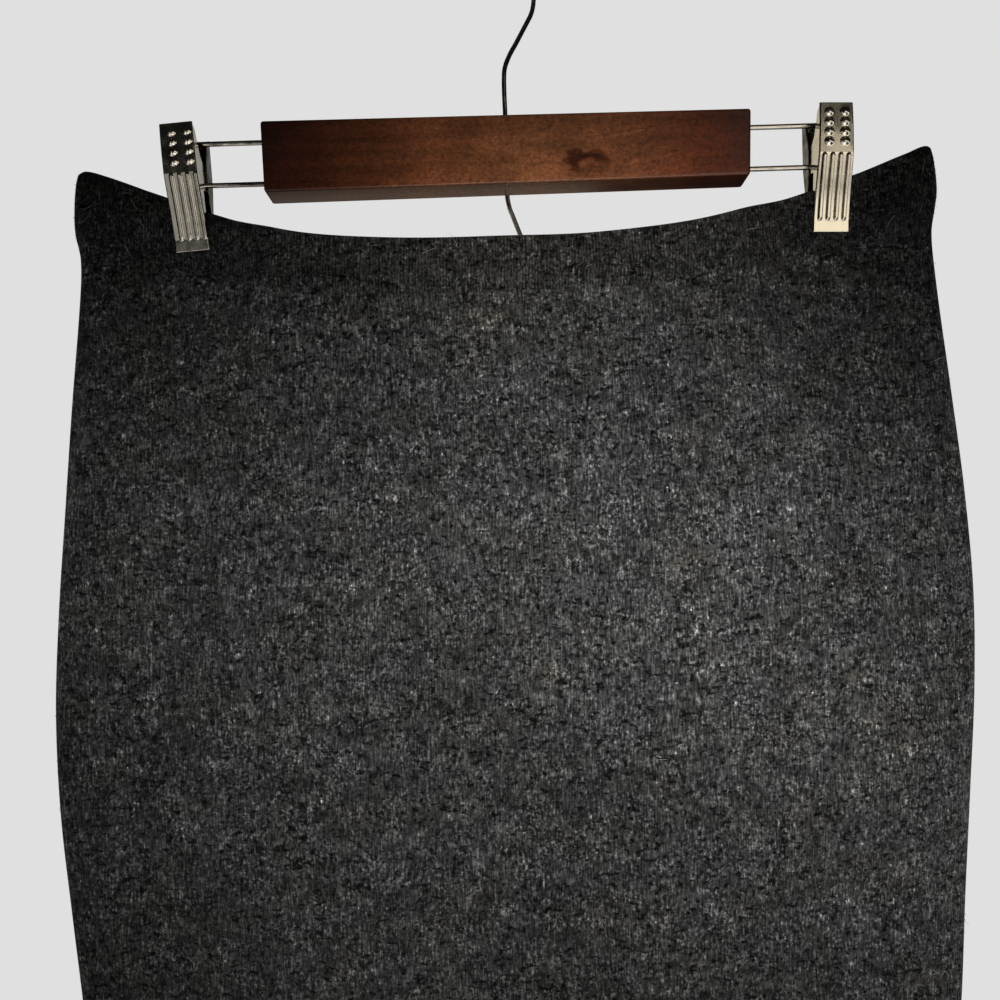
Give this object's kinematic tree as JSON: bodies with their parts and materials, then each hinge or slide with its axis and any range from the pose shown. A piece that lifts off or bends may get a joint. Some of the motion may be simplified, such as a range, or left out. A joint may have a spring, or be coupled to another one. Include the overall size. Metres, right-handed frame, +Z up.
{
  "type": "pencil skirt on clip hanger",
  "caption": "Knee-length pencil skirt of charcoal marl wool knit with a ribbed elastic waistband, held by the sliding clips of a wooden bar hanger with a wire hook.",
  "frame": {"origin": "inside top of the hanger's hook, where a rod carries it", "axes": "+Z up along the skirt's length, +X to the viewer's right across it, +Y from the front panel to the back panel"},
  "size_m": [0.4304, 0.0397, 0.7322],
  "materials": {
    "charcoal_knit": "brushed wool knit",
    "rib_band": "fine rib knit",
    "stained_wood": "stained and lacquered",
    "nickel_steel": "nickel plated"
  },
  "bodies": {
    "root": {"skirt_front": "charcoal_knit", "skirt_back": "charcoal_knit", "waistband_front": "rib_band", "waistband_back": "rib_band", "hanger_bar": "stained_wood", "hook": "nickel_steel", "rail_left": "nickel_steel", "rail_right": "nickel_steel", "clip_left_front_jaw": "nickel_steel", "clip_left_back_jaw": "nickel_steel", "clip_left_spring": "nickel_steel", "clip_right_front_jaw": "nickel_steel", "clip_right_back_jaw": "nickel_steel", "clip_right_spring": "nickel_steel"}
  },
  "joints": []
}
